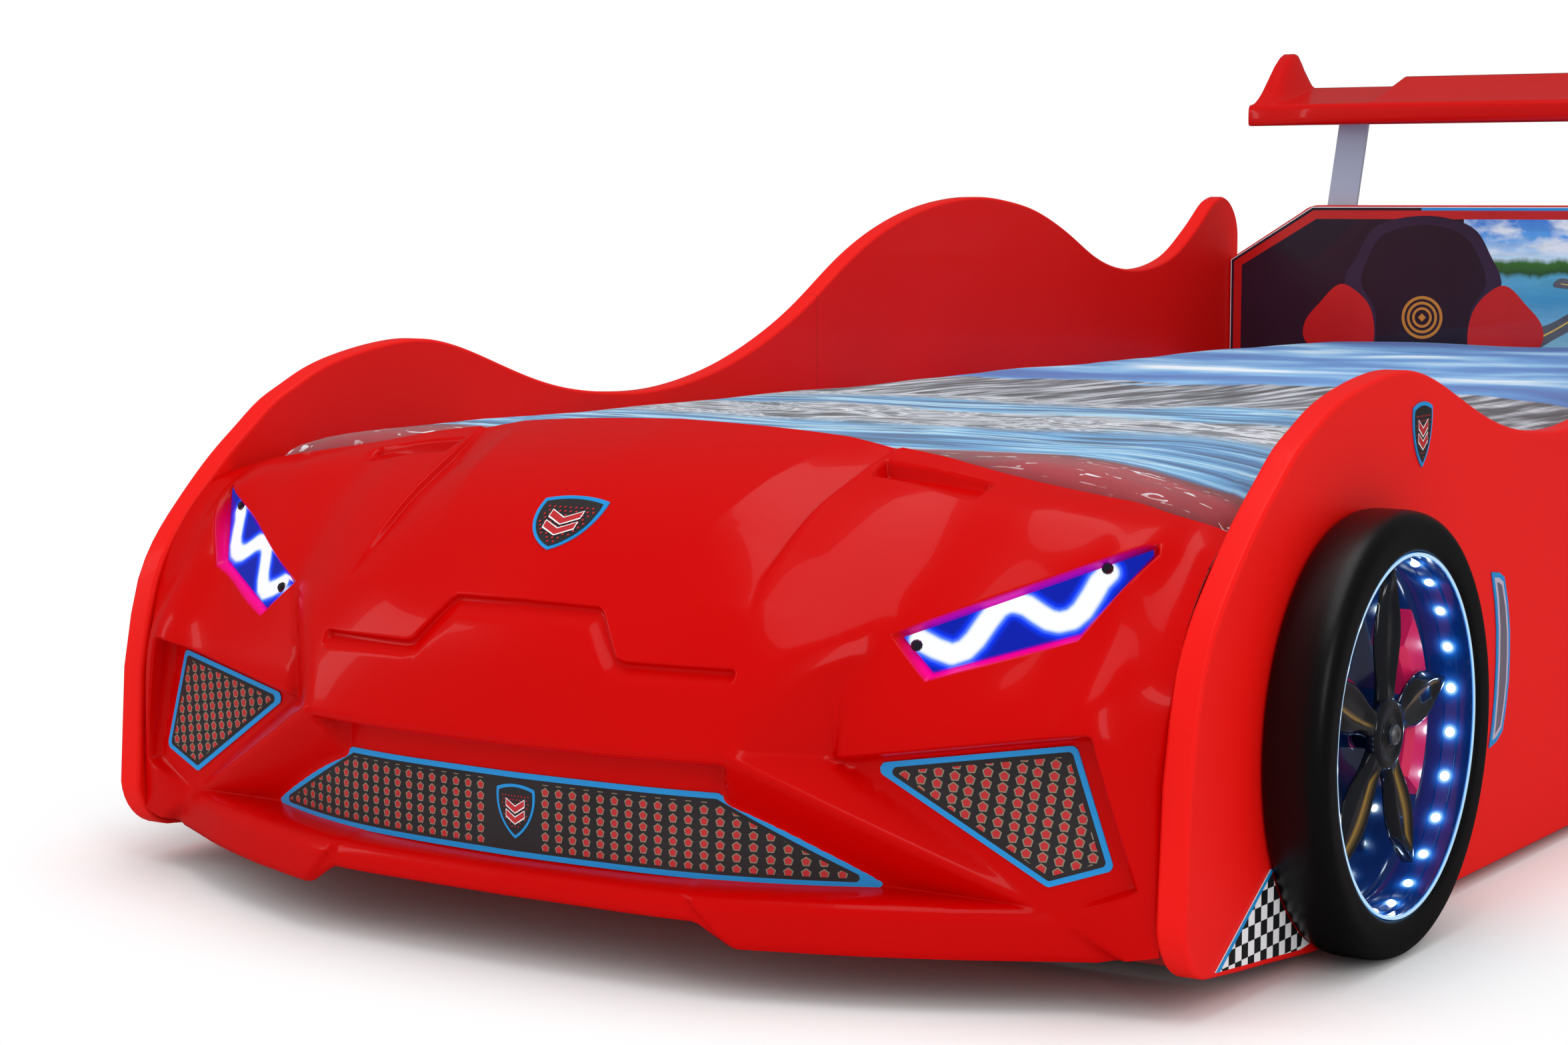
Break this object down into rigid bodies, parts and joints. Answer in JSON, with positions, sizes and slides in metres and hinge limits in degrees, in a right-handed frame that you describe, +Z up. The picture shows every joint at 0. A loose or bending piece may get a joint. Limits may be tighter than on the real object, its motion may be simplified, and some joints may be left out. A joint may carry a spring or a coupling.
{
  "type": "car bed for children",
  "caption": "Racing-car bed with wavy board sides, moulded bumper with lamps, four wheels with turning stars, printed headboard, mattress, spread and rear wing",
  "frame": {"origin": "centre of the bounding box on the floor plane", "axes": "+X to the side of the left panel, +Y from the bumper to the headboard, +Z up"},
  "size_m": [1.0706, 2.3519, 0.754],
  "materials": {
    "red_lacquer": "gloss",
    "red_shell": "gloss",
    "lamp_clear": "clear",
    "light": "translucent",
    "black_screw": "gloss",
    "printed_sheet": "satin",
    "emblem": "gloss",
    "tyre_plastic": "gloss",
    "dish_plastic": "gloss",
    "caliper_plastic": "gloss",
    "star_plastic": "gloss",
    "zinc_steel": "satin",
    "board_wood": "laminated",
    "head_sheet": "printed",
    "slat_wood": "raw",
    "glide_plastic": "matte",
    "ticking": "woven",
    "spread": "woven",
    "grey_metal": "satin"
  },
  "bodies": {
    "bed_frame": {"left_side_panel": "red_lacquer", "right_side_panel": "red_lacquer", "front_bumper": "red_shell", "left_lamp_plate": "lamp_clear", "right_lamp_plate": "lamp_clear", "left_lamp_tube": "light", "right_lamp_tube": "light", "lamp_screws": "black_screw", "left_intake_sheet": "printed_sheet", "right_intake_sheet": "printed_sheet", "grille_sheet": "printed_sheet", "grille_emblem": "emblem", "bonnet_emblem": "emblem", "left_side_emblem": "emblem", "right_side_emblem": "emblem", "left_vent_sheet": "printed_sheet", "right_vent_sheet": "printed_sheet", "left_chequer_sheets": "printed_sheet", "right_chequer_sheets": "printed_sheet", "wheel_bolts": "zinc_steel", "front_board": "board_wood", "head_board": "board_wood", "head_print": "head_sheet", "left_rail": "board_wood", "right_rail": "board_wood", "centre_beam": "board_wood", "centre_legs": "board_wood", "slats": "slat_wood", "floor_glides": "glide_plastic", "corner_brackets": "zinc_steel", "bracket_screws": "zinc_steel", "rail_screws": "zinc_steel", "light_control_box": "glide_plastic", "spoiler_wing": "red_shell", "left_strut": "grey_metal", "right_strut": "grey_metal", "strut_screws": "zinc_steel", "front_left_tyre": "tyre_plastic", "front_left_wheel_pan": "dish_plastic", "front_left_led_strip": "light", "front_left_calipers": "caliper_plastic", "front_right_tyre": "tyre_plastic", "front_right_wheel_pan": "dish_plastic", "front_right_led_strip": "light", "front_right_calipers": "caliper_plastic", "rear_left_tyre": "tyre_plastic", "rear_left_wheel_pan": "dish_plastic", "rear_left_led_strip": "light", "rear_left_calipers": "caliper_plastic", "rear_right_tyre": "tyre_plastic", "rear_right_wheel_pan": "dish_plastic", "rear_right_led_strip": "light", "rear_right_calipers": "caliper_plastic"},
    "bedding": {"mattress": "ticking", "bedspread": "spread"},
    "front_left_spinner": {"front_left_wheel_star": "star_plastic"},
    "front_right_spinner": {"front_right_wheel_star": "star_plastic"},
    "rear_left_spinner": {"rear_left_wheel_star": "star_plastic"},
    "rear_right_spinner": {"rear_right_wheel_star": "star_plastic"}
  },
  "joints": [
    {"name": "front_left_spin", "type": "hinge", "parent": "bed_frame", "child": "front_left_spinner", "pos_m": [0.5033, -0.781, 0.1645], "axis": [1, 0, 0], "continuous": true},
    {"name": "front_right_spin", "type": "hinge", "parent": "bed_frame", "child": "front_right_spinner", "pos_m": [-0.5033, -0.781, 0.1645], "axis": [1, 0, 0], "continuous": true},
    {"name": "rear_left_spin", "type": "hinge", "parent": "bed_frame", "child": "rear_left_spinner", "pos_m": [0.5033, 0.471, 0.1645], "axis": [1, 0, 0], "continuous": true},
    {"name": "rear_right_spin", "type": "hinge", "parent": "bed_frame", "child": "rear_right_spinner", "pos_m": [-0.5033, 0.471, 0.1645], "axis": [1, 0, 0], "continuous": true},
    {"name": "bedding_lift", "type": "slide", "parent": "bed_frame", "child": "bedding", "axis": [0, 0, 1], "range_m": [0, 0.28]}
  ]
}
